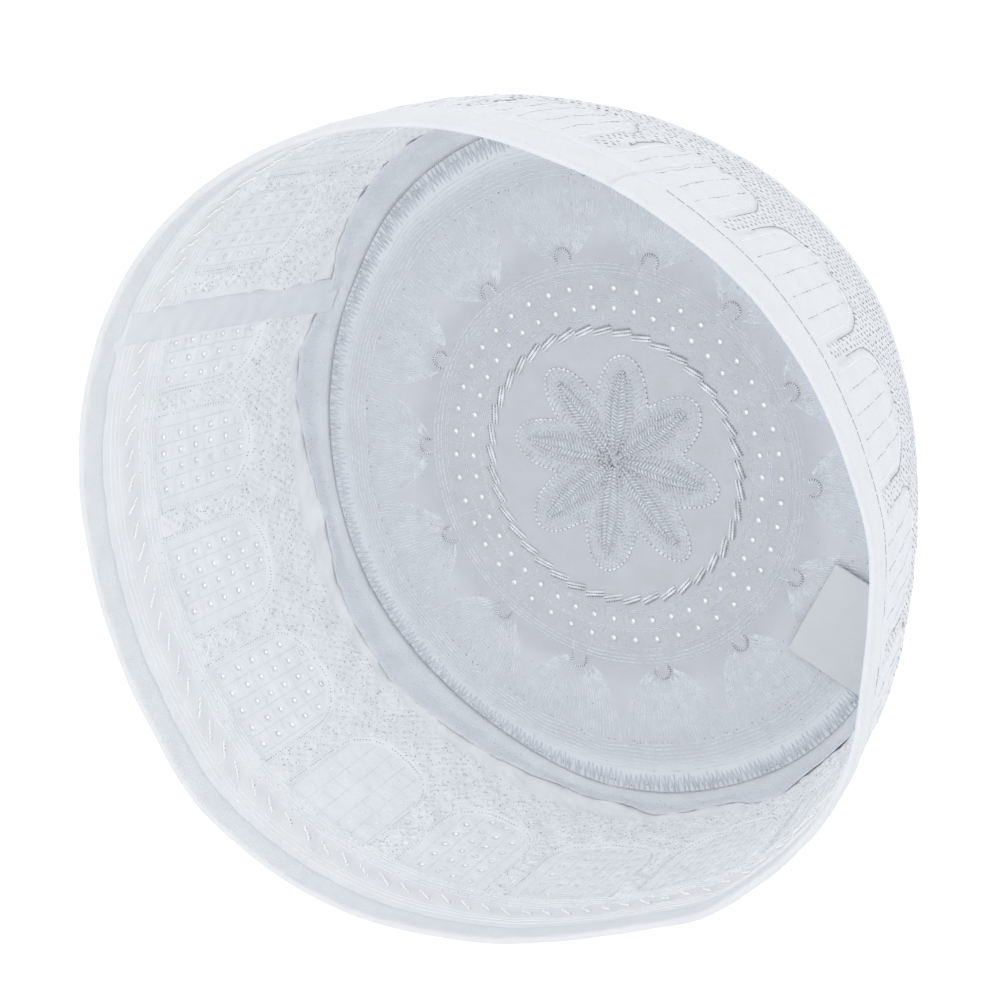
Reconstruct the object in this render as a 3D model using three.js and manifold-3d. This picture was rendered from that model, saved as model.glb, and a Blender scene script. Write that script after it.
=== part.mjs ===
// A soft embroidered prayer cap: a round flat crown sewn to a tapered band with a folded hem.
// It rests on its crown with the head opening up. The origin is the middle of the crown's outer
// face, +Z points out of the opening, and the band's back seam lies at +Y.
// Lengths are in millimetres and angles in degrees.

import * as THREE from 'three';
import { mergeVertices } from 'three/addons/utils/BufferGeometryUtils.js';
import Module from 'manifold-3d';

const wasm = await Module();
wasm.setup();

// The cap as a whole
const headSize = 585; // round the inside of the rim
const crownRadius = 80; // mean, to the band's inner face at the crown seam
const depth = 77.3; // from the crown's outer face to the rim
const gap = 0.3; // between pieces that are sewn together

// The cloth
const bandCloth = 1.3;
const crownCloth = 1.3;
const flapCloth = 1;
const stripCloth = 0.8;
const tagCloth = 0.6;

// The folded hem at the rim, and the turned allowance of the crown seam
const hemDepth = 7;
const hemFold = 1.2;
const flapHeight = 9;
const flapLean = 0.8;

// The strip of plain cloth that covers the join at the back of the band
const stripWidth = 9.3;
const stripAngle = 90;

// The bare tag that is caught in the crown seam
const tagAngle = -92;
const tagWidth = 25;
const tagReach = 19;
const tagRise = 1.2;

// The eyelets round the crown's flower
const eyeletsPerRow = 46;
const eyeletRadius = 0.65;
const eyeletSides = 6;
const eyeletStart = 48;
const eyeletRows = [{ reach: 0.471 }, { reach: 0.53 }]; // shares of the crown's radius

// The rim's outline, as shares of its mean radius
const rimRows = [
  { at: -173, reach: 0.978 },
  { at: -165, reach: 0.954 },
  { at: -157, reach: 0.934 },
  { at: -148, reach: 0.921 },
  { at: -140, reach: 0.912 },
  { at: -131, reach: 0.916 },
  { at: -123, reach: 0.933 },
  { at: -115, reach: 0.965 },
  { at: -106, reach: 0.982 },
  { at: -98, reach: 1 },
  { at: -90, reach: 1.017 },
  { at: -82, reach: 1.022 },
  { at: -73, reach: 1.011 },
  { at: -64, reach: 1.015 },
  { at: -55, reach: 1.029 },
  { at: -46, reach: 1.024 },
  { at: -36, reach: 1.021 },
  { at: -27, reach: 1.015 },
  { at: -18, reach: 1.006 },
  { at: -10, reach: 0.992 },
  { at: -1, reach: 0.984 },
  { at: 9, reach: 0.976 },
  { at: 20, reach: 0.981 },
  { at: 31, reach: 0.986 },
  { at: 45, reach: 0.992 },
  { at: 57, reach: 1.002 },
  { at: 72, reach: 1.016 },
  { at: 86, reach: 1.026 },
  { at: 108, reach: 1.027 },
  { at: 124, reach: 1.018 },
  { at: 141, reach: 1.019 },
  { at: 150, reach: 1.023 },
  { at: 159, reach: 1.036 },
  { at: 170, reach: 1.019 },
];

// The crown seam's outline, as shares of the crown's radius
const seamRows = [
  { at: -178, reach: 1.006 },
  { at: -156, reach: 1.035 },
  { at: -124, reach: 1.031 },
  { at: -109, reach: 1.022 },
  { at: -98, reach: 1 },
  { at: -88, reach: 0.962 },
  { at: -79, reach: 0.931 },
  { at: -68, reach: 0.918 },
  { at: -55, reach: 0.925 },
  { at: -40, reach: 0.952 },
  { at: -30, reach: 0.976 },
  { at: -10, reach: 0.994 },
  { at: 9, reach: 1.008 },
  { at: 26, reach: 1.034 },
  { at: 41, reach: 1.05 },
  { at: 68, reach: 1.042 },
  { at: 86, reach: 1.015 },
  { at: 118, reach: 1.004 },
  { at: 145, reach: 1.012 },
  { at: 162, reach: 1.004 },
];

// How far the band swells out past a straight taper, a third and two thirds of the way up,
// as shares of the crown's radius
const swellRows = [
  { at: -150, low: 0.008, high: 0.006 },
  { at: -110, low: 0.01, high: 0.006 },
  { at: -72, low: 0.024, high: 0.006 },
  { at: -50, low: 0.02, high: 0 },
  { at: -33, low: 0.014, high: 0 },
  { at: -15, low: 0.01, high: 0.006 },
  { at: -3, low: 0.012, high: 0.014 },
  { at: 9, low: 0.015, high: 0.022 },
  { at: 26, low: 0.022, high: 0.022 },
  { at: 43, low: 0.033, high: 0.02 },
  { at: 62, low: 0.02, high: 0.012 },
  { at: 90, low: 0.006, high: 0.004 },
  { at: 150, low: 0.004, high: 0.004 },
];

// How high the turned allowance stands up the band, as shares of its usual height
const flapRows = [
  { at: -175, rise: 0.64 },
  { at: -166, rise: 0.44 },
  { at: -152, rise: 0.42 },
  { at: -144, rise: 0.82 },
  { at: -138, rise: 0.66 },
  { at: -131, rise: 0.62 },
  { at: -122, rise: 1.45 },
  { at: -114, rise: 0.8 },
  { at: -98, rise: 0.9 },
  { at: -60, rise: 1 },
  { at: 0, rise: 0.95 },
  { at: 40, rise: 1.3 },
  { at: 57, rise: 1.45 },
  { at: 70, rise: 1.1 },
  { at: 80, rise: 0.84 },
  { at: 89, rise: 0.5 },
  { at: 101, rise: 1 },
  { at: 116, rise: 0.7 },
  { at: 131, rise: 0.45 },
  { at: 144, rise: 0.78 },
  { at: 161, rise: 1 },
  { at: 173, rise: 0.8 },
];

// How finely the cloth is divided
const stepsRound = 90;
const bandLevels = 9;
const flapLevels = 3;
const stripColumns = 3;
const stripLevels = 8;
const tagColumns = 5;
const tagLevels = 3;

const rimRadius = headSize / (2 * Math.PI);
const { degToRad, radToDeg, lerp, clamp, euclideanModulo } = THREE.MathUtils;

// A smooth closed curve through one column of a table, as a function of the angle in degrees.
function loopThrough(rows, column) {
  const row = (index) => {
    const lap = Math.floor(index / rows.length);
    const found = rows[index - lap * rows.length];
    return { at: found.at + 360 * lap, value: found[column] };
  };
  const slope = (index) => {
    const before = row(index - 1);
    const after = row(index + 1);
    return (after.value - before.value) / (after.at - before.at);
  };
  return (angle) => {
    const at = rows[0].at + euclideanModulo(angle - rows[0].at, 360);
    let index = 0;
    while (row(index + 1).at <= at) index += 1;
    const from = row(index);
    const to = row(index + 1);
    const span = to.at - from.at;
    const t = (at - from.at) / span;
    const rise = t * t * (3 - 2 * t);
    const leaving = slope(index) * span * t * (1 - t) ** 2;
    const arriving = slope(index + 1) * span * t * t * (1 - t);
    return lerp(from.value, to.value, rise) + leaving - arriving;
  };
}

const rimReach = loopThrough(rimRows, 'reach');
const seamReach = loopThrough(seamRows, 'reach');
const swellLow = loopThrough(swellRows, 'low');
const swellHigh = loopThrough(swellRows, 'high');
const flapRise = loopThrough(flapRows, 'rise');

// The radius of the band's inner face. Each hump peaks at 1, a third of the way from its end.
function wallRadius(angle, height) {
  const share = clamp((height - crownCloth) / (depth - crownCloth), 0, 1);
  const straight = lerp(seamReach(angle) * crownRadius, rimReach(angle) * rimRadius, share);
  const humpScale = 27 / 4;
  const lowHump = humpScale * share * (1 - share) ** 2;
  const highHump = humpScale * share * share * (1 - share);
  return straight + crownRadius * (swellLow(angle) * lowHump + swellHigh(angle) * highHump);
}

function polar(radius, angle, height) {
  const turn = degToRad(angle);
  return new THREE.Vector3(radius * Math.cos(turn), radius * Math.sin(turn), height);
}

function solidFrom(points, triangles) {
  const geometry = new THREE.BufferGeometry().setFromPoints(points);
  geometry.setIndex(triangles);
  geometry.computeVertexNormals();
  return geometry;
}

// A closed ring. Its section at an angle lists [radius, height], anticlockwise with the radius
// to the right and the height up.
function ringSolid(sectionAt) {
  const points = [];
  const triangles = [];
  const size = sectionAt(0).length;
  for (let step = 0; step < stepsRound; step += 1) {
    const angle = (360 * step) / stepsRound;
    for (const [radius, height] of sectionAt(angle)) points.push(polar(radius, angle, height));
  }
  for (let step = 0; step < stepsRound; step += 1) {
    const here = step * size;
    const next = ((step + 1) % stepsRound) * size;
    for (let corner = 0; corner < size; corner += 1) {
      const after = (corner + 1) % size;
      triangles.push(here + corner, next + corner, next + after);
      triangles.push(here + corner, next + after, here + after);
    }
  }
  return solidFrom(points, triangles);
}

// A patch of cloth between a face and its back, each a function of two shares from 0 to 1. The
// face points to where across turns anticlockwise into along.
function patchSolid(faceAt, backAt, columns, levels) {
  const points = [];
  const triangles = [];
  const width = columns + 1;
  const layer = width * (levels + 1);
  for (const pointAt of [faceAt, backAt]) {
    for (let level = 0; level <= levels; level += 1) {
      for (let column = 0; column <= columns; column += 1) {
        points.push(pointAt(column / columns, level / levels));
      }
    }
  }
  for (let level = 0; level < levels; level += 1) {
    for (let column = 0; column < columns; column += 1) {
      const a = level * width + column;
      const b = a + 1;
      const c = b + width;
      const d = a + width;
      triangles.push(a, b, c, a, c, d);
      triangles.push(layer + a, layer + c, layer + b, layer + a, layer + d, layer + c);
    }
  }
  const edge = [];
  for (let column = 0; column < columns; column += 1) edge.push(column);
  for (let level = 0; level < levels; level += 1) edge.push(level * width + columns);
  for (let column = columns; column > 0; column -= 1) edge.push(levels * width + column);
  for (let level = levels; level > 0; level -= 1) edge.push(level * width);
  edge.forEach((a, index) => {
    const b = edge[(index + 1) % edge.length];
    triangles.push(a, layer + b, b, a, layer + a, layer + b);
  });
  return solidFrom(points, triangles);
}

function toManifold(geometry) {
  const bare = geometry.clone();
  bare.deleteAttribute('normal');
  bare.deleteAttribute('uv');
  const merged = mergeVertices(bare);
  const vertProperties = new Float32Array(merged.attributes.position.array);
  const triVerts = new Uint32Array(merged.index.array);
  return new wasm.Manifold(new wasm.Mesh({ numProp: 3, vertProperties, triVerts }));
}

function fromManifold(solid) {
  const mesh = solid.getMesh();
  const geometry = new THREE.BufferGeometry();
  geometry.setAttribute('position', new THREE.BufferAttribute(mesh.vertProperties, 3));
  geometry.setIndex(new THREE.BufferAttribute(mesh.triVerts, 1));
  geometry.computeVertexNormals();
  return geometry;
}

// The crown is one flat round of cloth with a soft edge, pierced by two rows of eyelets.
function crownSolid() {
  const softness = crownCloth / 2;
  const outline = new THREE.Shape();
  for (let step = 0; step < stepsRound; step += 1) {
    const angle = (360 * step) / stepsRound;
    const corner = polar(wallRadius(angle, 0) + bandCloth - softness, angle, 0);
    if (step === 0) outline.moveTo(corner.x, corner.y);
    else outline.lineTo(corner.x, corner.y);
  }
  const round = new THREE.ExtrudeGeometry(outline, {
    depth: crownCloth - softness,
    bevelThickness: softness / 2,
    bevelSize: softness,
    bevelSegments: 1,
  });
  round.translate(0, 0, softness / 2);
  let solid = toManifold(round);
  const punch = new THREE.CylinderGeometry(eyeletRadius, eyeletRadius, 3 * crownCloth, eyeletSides);
  punch.rotateX(Math.PI / 2);
  for (const { reach } of eyeletRows) {
    for (let eyelet = 0; eyelet < eyeletsPerRow; eyelet += 1) {
      const angle = eyeletStart + (360 * eyelet) / eyeletsPerRow;
      const place = polar(reach * crownRadius, angle, crownCloth / 2);
      const hole = punch.clone().rotateZ(degToRad(angle)).translate(place.x, place.y, place.z);
      solid = solid.subtract(toManifold(hole));
    }
  }
  return fromManifold(solid);
}

// The band rises from the crown seam to the rim, where its edge is folded inwards into the hem.
const bandBottom = crownCloth + gap;
const hemBottom = depth - hemDepth;

function bandSection(angle) {
  const section = [];
  const add = (offset, height) => section.push([wallRadius(angle, height) + offset, height]);
  const softness = bandCloth / 2;
  add(bandCloth - softness, bandBottom);
  for (let level = 0; level <= bandLevels; level += 1) {
    add(bandCloth, lerp(bandBottom + softness, depth - softness, level / bandLevels));
  }
  add((bandCloth - hemFold) / 2, depth);
  add(-hemFold, depth - softness);
  add(-hemFold, lerp(hemBottom, depth, 1 / 2));
  add(-hemFold, hemBottom + softness);
  for (let level = bandLevels - 1; level >= 0; level -= 1) {
    add(0, lerp(bandBottom, hemBottom, level / (bandLevels - 1)));
  }
  return section;
}

// The seam's allowance is turned up against the band, inside the cap, with a wavy free edge.
const flapTop = (angle) => bandBottom + flapHeight * flapRise(angle);

function flapSection(angle) {
  const top = flapTop(angle);
  const facing = [];
  const backing = [];
  for (let level = 0; level <= flapLevels; level += 1) {
    const share = level / flapLevels;
    const height = lerp(bandBottom, top, share);
    const face = wallRadius(angle, height) - gap - flapLean * share * share;
    backing.push([face, height]);
    facing.unshift([face - flapCloth, height]);
  }
  return [...backing, ...facing];
}

// The strip over the band's join runs from the turned allowance to the hem.
function stripPoint(across, along, offset) {
  const side = (0.5 - across) * stripWidth;
  const foot = flapTop(stripAngle + radToDeg(side / crownRadius)) + 2 * gap;
  const height = lerp(foot, hemBottom - gap, along);
  const angle = stripAngle + radToDeg(side / wallRadius(stripAngle, height));
  return polar(wallRadius(angle, height) - gap - offset, angle, height);
}

// The tag lies over the crown, from the turned allowance inwards, and its free end curls up.
function tagPoint(across, along, offset) {
  const side = (0.5 - across) * tagWidth;
  const flapFace = (angle) => wallRadius(angle, bandBottom) - gap - flapCloth;
  const root = flapFace(tagAngle + radToDeg(side / crownRadius)) - 2 * gap;
  const freeEnd = flapFace(tagAngle) - 2 * gap - tagReach;
  const curl = tagRise * (1 - along) ** 2;
  const point = new THREE.Vector3(lerp(freeEnd, Math.sqrt(root ** 2 - side ** 2), along), side, 0);
  point.z = crownCloth + gap + curl + offset;
  return point.applyMatrix4(new THREE.Matrix4().makeRotationZ(degToRad(tagAngle)));
}

const cloth = new THREE.MeshStandardMaterial({ color: 0xe6ebf1, roughness: 0.9, metalness: 0 });
const crispCloth = cloth.clone();
crispCloth.color.set(0xf1f4f8);
const shadedCloth = cloth.clone();
shadedCloth.color.set(0xd9e0e8);
const stripMaterial = cloth.clone();
const tagMaterial = cloth.clone();
tagMaterial.color.set(0xf6f7f9);
tagMaterial.roughness = 0.7;

const cap = new THREE.Group();

function addPiece(name, geometry, material) {
  const mesh = new THREE.Mesh(geometry, material);
  mesh.name = name;
  cap.add(mesh);
}

addPiece('crown', crownSolid(), shadedCloth);
addPiece('band', ringSolid(bandSection), crispCloth);
addPiece('seam_flap', ringSolid(flapSection), cloth);
addPiece('back_seam', patchSolid(
  (across, along) => stripPoint(across, along, stripCloth),
  (across, along) => stripPoint(across, along, 0),
  stripColumns,
  stripLevels,
), stripMaterial);
addPiece('label', patchSolid(
  (across, along) => tagPoint(across, along, tagCloth),
  (across, along) => tagPoint(across, along, 0),
  tagColumns,
  tagLevels,
), tagMaterial);

export default cap;
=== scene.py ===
"""A soft white embroidered prayer cap that rests on its crown, with the head opening up.

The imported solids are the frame. Each is cloth, so each is replaced here by cloth in the same
place, with the embroidery that the solids leave out. Lengths are in millimetres and angles in
degrees until a mesh is written in metres. Heights are above the crown's outer face.
"""
import bpy
import numpy as np
from mathutils import Matrix, Vector


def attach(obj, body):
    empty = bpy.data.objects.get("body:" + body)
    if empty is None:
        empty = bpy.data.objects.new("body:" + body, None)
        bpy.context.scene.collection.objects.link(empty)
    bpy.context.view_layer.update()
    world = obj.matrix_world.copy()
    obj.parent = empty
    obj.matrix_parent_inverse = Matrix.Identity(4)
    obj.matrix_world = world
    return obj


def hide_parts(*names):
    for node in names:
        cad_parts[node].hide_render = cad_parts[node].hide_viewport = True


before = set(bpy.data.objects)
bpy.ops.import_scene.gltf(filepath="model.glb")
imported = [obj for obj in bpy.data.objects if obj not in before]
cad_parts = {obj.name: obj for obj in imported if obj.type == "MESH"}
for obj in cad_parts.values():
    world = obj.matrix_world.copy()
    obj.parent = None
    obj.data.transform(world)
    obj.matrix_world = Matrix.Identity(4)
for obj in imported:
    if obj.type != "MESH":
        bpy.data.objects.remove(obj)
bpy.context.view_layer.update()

MM = 0.001
SEED = 11
UP = np.array([0.0, 0.0, 1.0])

# The cap's sizes, as in the part's source
CROWN_RADIUS = 80
RIM_RADIUS = 585 / (2 * np.pi)
DEPTH = 77.3
CLOTH = 1.3
GAP = 0.3
HEM_BOTTOM = DEPTH - 7
FLAP_HEIGHT = 9
STRIP_WIDTH = 9.3
STRIP_ANGLE = 90
TAG_ANGLE, TAG_WIDTH, TAG_REACH, TAG_RISE = -92, 25, 19, 1.2
EYELETS = 46
EYELET_START = 48
EYELET_RINGS = (37.7, 42.4)

# Angle and reach, as a share of the rim's mean radius
RIM = [
    (-173, 0.978), (-165, 0.954), (-157, 0.934), (-148, 0.921), (-140, 0.912), (-131, 0.916),
    (-123, 0.933), (-115, 0.965), (-106, 0.982), (-98, 1), (-90, 1.017), (-82, 1.022),
    (-73, 1.011), (-64, 1.015), (-55, 1.029), (-46, 1.024), (-36, 1.021), (-27, 1.015),
    (-18, 1.006), (-10, 0.992), (-1, 0.984), (9, 0.976), (20, 0.981), (31, 0.986),
    (45, 0.992), (57, 1.002), (72, 1.016), (86, 1.026), (108, 1.027), (124, 1.018),
    (141, 1.019), (150, 1.023), (159, 1.036), (170, 1.019),
]
# Angle and reach, as a share of the crown's radius
SEAM = [
    (-178, 1.006), (-156, 1.035), (-124, 1.031), (-109, 1.022), (-98, 1), (-88, 0.962),
    (-79, 0.931), (-68, 0.918), (-55, 0.925), (-40, 0.952), (-30, 0.976), (-10, 0.994),
    (9, 1.008), (26, 1.034), (41, 1.05), (68, 1.042), (86, 1.015), (118, 1.004),
    (145, 1.012), (162, 1.004),
]
# Angle, and the swell a third and two thirds of the way up, as shares of the crown's radius
SWELL = [
    (-150, 0.008, 0.006), (-110, 0.01, 0.006), (-72, 0.024, 0.006), (-50, 0.02, 0),
    (-33, 0.014, 0), (-15, 0.01, 0.006), (-3, 0.012, 0.014), (9, 0.015, 0.022),
    (26, 0.022, 0.022), (43, 0.033, 0.02), (62, 0.02, 0.012), (90, 0.006, 0.004),
    (150, 0.004, 0.004),
]
# Angle and rise of the turned allowance, as a share of its usual height
FLAP = [
    (-175, 0.64), (-166, 0.44), (-152, 0.42), (-144, 0.82), (-138, 0.66), (-131, 0.62),
    (-122, 1.45), (-114, 0.8), (-98, 0.9), (-60, 1), (0, 0.95), (40, 1.3), (57, 1.45),
    (70, 1.1), (80, 0.84), (89, 0.5), (101, 1), (116, 0.7), (131, 0.45), (144, 0.78),
    (161, 1), (173, 0.8),
]
# The arches round the band: first leg, last leg, and whether the eyelets are open
ARCHES = [
    (66, 82.1, True), (86.3, 102.3, True), (105.7, 120.5, True), (124, 139.8, True),
    (144, 160.7, True), (165, 181, False), (185.4, 201, True), (204.6, 222.9, True),
    (226.8, 246, True), (249.5, 265.5, False), (269, 285, False), (289, 305.3, False),
    (309.4, 325.2, False), (329, 345.5, False), (349.7, 365.5, False), (370, 386, False),
    (389.5, 405.5, False), (408.5, 423, False),
]
# An arch's straight legs stand on its base and bend to its tip, nearest the crown
INSIDE_ARCH = dict(base=55.2, bend=38, tip=25)
OUTSIDE_ARCH = dict(base=60, bend=39.5, tip=26.4)


def closed_curve(table, column):
    """A smooth closed curve through one column of a table, as a function of the angle."""
    at = np.array([row[0] for row in table], float)
    value = np.array([row[column] for row in table], float)
    at = np.concatenate([at - 360, at, at + 360])
    value = np.tile(value, 3)
    slope = np.zeros_like(value)
    slope[1:-1] = (value[2:] - value[:-2]) / (at[2:] - at[:-2])

    def curve(angle):
        turned = (np.asarray(angle, float) + 180) % 360 - 180
        i = np.searchsorted(at, turned, side="right") - 1
        span = at[i + 1] - at[i]
        t = (turned - at[i]) / span
        straight = value[i] * (1 - t) ** 2 * (1 + 2 * t) + value[i + 1] * t * t * (3 - 2 * t)
        return straight + span * t * (1 - t) * (slope[i] * (1 - t) - slope[i + 1] * t)

    return curve


rim_reach = closed_curve(RIM, 1)
seam_reach = closed_curve(SEAM, 1)
swell_low = closed_curve(SWELL, 1)
swell_high = closed_curve(SWELL, 2)
flap_rise = closed_curve(FLAP, 1)


def smooth(value, low, high):
    t = np.clip((value - low) / (high - low), 0, 1)
    return t * t * (3 - 2 * t)


def wall_radius(angle, height):
    """The radius of the band's inner face."""
    s = np.clip((height - CLOTH) / (DEPTH - CLOTH), 0, 1)
    straight = seam_reach(angle) * CROWN_RADIUS * (1 - s) + rim_reach(angle) * RIM_RADIUS * s
    hump = swell_low(angle) * s * (1 - s) ** 2 + swell_high(angle) * s * s * (1 - s)
    return straight + CROWN_RADIUS * 27 / 4 * hump


def polar(radius, angle, height):
    radius, angle, height = np.broadcast_arrays(radius, np.radians(angle), height)
    return np.stack([radius * np.cos(angle), radius * np.sin(angle), height], axis=-1)


def ripples(angle, height, size, seed, count=9):
    """Soft random waves about `size` long, that close up round the cap."""
    rng = np.random.default_rng(SEED + seed)
    total = np.zeros(np.broadcast(angle, height).shape)
    for _ in range(count):
        heading = rng.uniform(0, np.pi)
        number = 2 * np.pi / size * rng.uniform(0.7, 1.4)
        laps = round(number * np.cos(heading) * 86)
        phase = rng.uniform(0, 2 * np.pi)
        total += np.cos(np.radians(angle) * laps + number * np.sin(heading) * height + phase)
    return total / np.sqrt(count / 2)


# The cloth of the band. Its columns and rows also carry the pits of the netting.
PITS_ROUND = 248
COLUMNS = 4 * PITS_ROUND
PIT_ROW = 1.35
ROW = PIT_ROW / 2
GRID_START = 0.4


def arch_depth(angle, height, base, bend, tip):
    """How far a point lies inside the nearest arch, in millimetres, and below 0 outside."""
    angle, height = np.broadcast_arrays(np.asarray(angle, float), np.asarray(height, float))
    best = np.full(angle.shape, -99.0)
    scale = np.radians(1) * wall_radius(angle, height)
    for first, last, _ in ARCHES:
        off = np.abs((angle - (first + last) / 2 + 180) % 360 - 180)
        half = (last - first) / 2
        drop = np.clip((bend - height) / (bend - tip), 0, None)
        reach = ((off / half) ** 2.4 + drop ** 2.4) ** (1 / 2.4)
        best = np.maximum(best, (1 - reach) * half * scale)
    return np.minimum(best, base - height)


def pits(angle, height, wide, tall, seed):
    """The netting's small pits, 1 at the middle of each, in rows like brickwork."""
    row = (height - GRID_START) / PIT_ROW
    line = np.round(row)
    place = angle * PITS_ROUND / 360 - 0.5 * (line % 2)
    across = (place - np.round(place)) * 2 * np.pi * 86 / PITS_ROUND
    along = (row - line) * PIT_ROW
    chance = np.sin(np.round(place) * 12.9898 + line * 78.233 + seed) * 43758.5453
    depth = 0.35 + 0.9 * (chance - np.floor(chance)) ** 1.6
    return np.exp(-((across / wide) ** 2) - (along / tall) ** 2) * depth


def netting_inside(angle, height):
    depth = arch_depth(angle, height, **INSIDE_ARCH)
    edge = smooth(height, 10.5, 13) * (1 - smooth(height, 54.6, 55.4))
    return (1 - smooth(depth, -0.9, -0.2)) * edge, smooth(depth, -0.3, 0.7)


def relief_inside(angle, height):
    """How far the inside of the band stands in from the band's inner face."""
    net, panel = netting_inside(angle, height)
    raised = 0.15 + 0.25 * net - 0.35 * panel
    hole = 0.3 * net * pits(angle, height, 0.62, 0.5, 1)
    soft = 0.2 * ripples(angle, height, 11, 2) + 0.07 * ripples(angle, height, 3.2, 3)
    soft = 0.4 * np.tanh(soft / 0.4) * (1 - 0.5 * panel) * (1 - 0.85 * smooth(height, 63, 69))
    side = np.abs((angle - STRIP_ANGLE + 180) % 360 - 180) * np.radians(1) * 86
    under_strip = 1 - smooth(side, 4.9, 6.2)
    return (raised - hole) * (1 - under_strip) + 0.3 * under_strip + soft


def netting_outside(angle, height):
    depth = arch_depth(angle, height, **OUTSIDE_ARCH)
    edge = smooth(height, 1.6, 3) * (1 - smooth(height, 59, 60))
    return (1 - smooth(depth, -1.5, -0.9)) * edge, depth


def relief_outside(angle, height):
    """How far the outside of the band stands out from the band's inner face."""
    net, depth = netting_outside(angle, height)
    inside = smooth(depth, -0.5, 0.5)
    groove = np.exp(-(((depth + 0.75) / 0.42) ** 2)) * (1 - smooth(height, 57, 59.5))
    welt = np.exp(-(((depth - 0.35) / 0.5) ** 2)) * (1 - smooth(height, 57, 59.5))
    hole = 0.34 * net * pits(angle, height, 0.52, 0.62, 4)
    soft = 0.16 * ripples(angle, height, 10, 5) + 0.05 * ripples(angle, height, 3.2, 6)
    soft = 0.3 * np.tanh(soft / 0.3) * (1 - 0.8 * smooth(height, 59, 64)) * (0.3 + 0.7 * smooth(height, 2, 16))
    return CLOTH - 0.1 + 0.15 * net - 0.2 * inside - 0.32 * groove + 0.2 * welt - hole + soft


def inside_point(angle, height, lift=0.0):
    return polar(wall_radius(angle, height) - relief_inside(angle, height) - lift, angle, height)


def outside_point(angle, height, lift=0.0):
    return polar(wall_radius(angle, height) + relief_outside(angle, height) + lift, angle, height)


# The cloth of the crown, with the flower's pads raised on it
FLOWER_MIDDLE = (2.1, 0.2)
# Each petal's angle and reach, then those of the valley after it, about the flower's middle
PETALS = [
    (19.7, 25, 43.7, 15.4), (66.8, 25.7, 87.7, 16.7), (109.9, 26.3, 134, 16.3),
    (157.4, 27.8, 178.3, 17.9), (198.5, 27.8, 223.2, 17.6), (244.6, 28.3, 262.8, 18.2),
    (285, 26.7, 304.5, 17.3), (331.7, 25.9, 352.8, 15.8),
]


def from_flower(radius, angle):
    """From the radius and angle about the flower's middle to those about the crown's."""
    x = FLOWER_MIDDLE[0] + radius * np.cos(np.radians(angle))
    y = FLOWER_MIDDLE[1] + radius * np.sin(np.radians(angle))
    return np.hypot(x, y), np.degrees(np.arctan2(y, x))


def to_flower(radius, angle):
    x = radius * np.cos(np.radians(angle)) - FLOWER_MIDDLE[0]
    y = radius * np.sin(np.radians(angle)) - FLOWER_MIDDLE[1]
    return np.hypot(x, y), np.degrees(np.arctan2(y, x))


def leaf_width(along, reach):
    """Half the width of a petal's satin leaf, from its foot to its tip."""
    t = np.clip((along - 1.2) / (reach - 4.6), 0, 1)
    return 2.7 * np.sin(np.pi * t ** 0.85) ** 0.8


def leaf_share(radius, angle):
    """The share of the way across the nearest petal's leaf, and more than 1 outside it."""
    radius, angle = to_flower(radius, angle)
    across = np.full(np.broadcast(radius, angle).shape, 9.0)
    for middle, reach, _, _ in PETALS:
        off = np.radians((angle - middle + 180) % 360 - 180)
        along, side = radius * np.cos(off), np.abs(radius * np.sin(off))
        width = leaf_width(along, reach)
        across = np.minimum(across, np.where(width > 0.05, side / np.maximum(width, 0.05), 9))
    return across


def star_radius(angle):
    """The flower's beaded edge: its reach from the flower's middle."""
    at = np.array([row[k] for row in PETALS for k in (0, 2)] + [PETALS[0][0] + 360])
    reach = np.array([row[k] for row in PETALS for k in (1, 3)] + [PETALS[0][1]])
    turned = (np.asarray(angle, float) - at[0]) % 360 + at[0]
    i = np.clip(np.searchsorted(at, turned, side="right") - 1, 0, 15)
    share = (turned - at[i]) / (at[i + 1] - at[i])
    off = np.where(i % 2 == 0, share, 1 - share)
    tip, valley = np.maximum(reach[i], reach[i + 1]), np.minimum(reach[i], reach[i + 1])
    return valley + (tip - valley) * (1 - off ** 2) ** 1.45


def crown_radius(radius, angle):
    """Stretches the crown's outer part out to the seam's outline."""
    outline = seam_reach(angle) * CROWN_RADIUS
    return np.where(radius > 60, 60 + (radius - 60) * (outline - 60) / 20, radius)


def relief_crown(radius, angle):
    """The height of the crown's inner face."""
    leaf = 1 - smooth(leaf_share(radius, angle), 0.5, 1.15)
    reach, turn = to_flower(radius, angle)
    star = 1 - smooth(reach - star_radius(turn), -0.6, 0.4)
    rope = np.exp(-(((radius - 32.2) / 1.4) ** 2))
    shells = smooth(radius, 50, 55)
    x, y = radius * np.cos(np.radians(angle)), radius * np.sin(np.radians(angle))
    soft = 0.09 * np.cos(x * 0.41 + 0.8) * np.cos(y * 0.37 + 2) + 0.07 * np.cos(x * 0.23 - y * 0.31)
    fine = 0.05 * np.cos(x * 1.1 + 1.2 * np.cos(y * 0.7)) * np.cos(y * 1.3)
    return 0.95 + 0.45 * leaf + 0.16 * star + 0.18 * rope + 0.2 * shells + soft + fine


def crown_point(radius, angle, lift=0.0):
    return polar(crown_radius(radius, angle), angle, relief_crown(radius, angle) + lift)


# Meshes
def faces_of(mesh, quads, tris, soft):
    sizes = np.concatenate([np.full(len(quads), 4), np.full(len(tris), 3)]).astype(np.int32)
    corners = np.concatenate([np.ravel(quads), np.ravel(tris)]).astype(np.int32)
    starts = np.concatenate([[0], np.cumsum(sizes)[:-1]]).astype(np.int32)
    mesh.loops.add(len(corners))
    mesh.polygons.add(len(sizes))
    mesh.loops.foreach_set("vertex_index", corners)
    mesh.polygons.foreach_set("loop_start", starts)
    mesh.polygons.foreach_set("use_smooth", np.full(len(sizes), soft))


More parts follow.
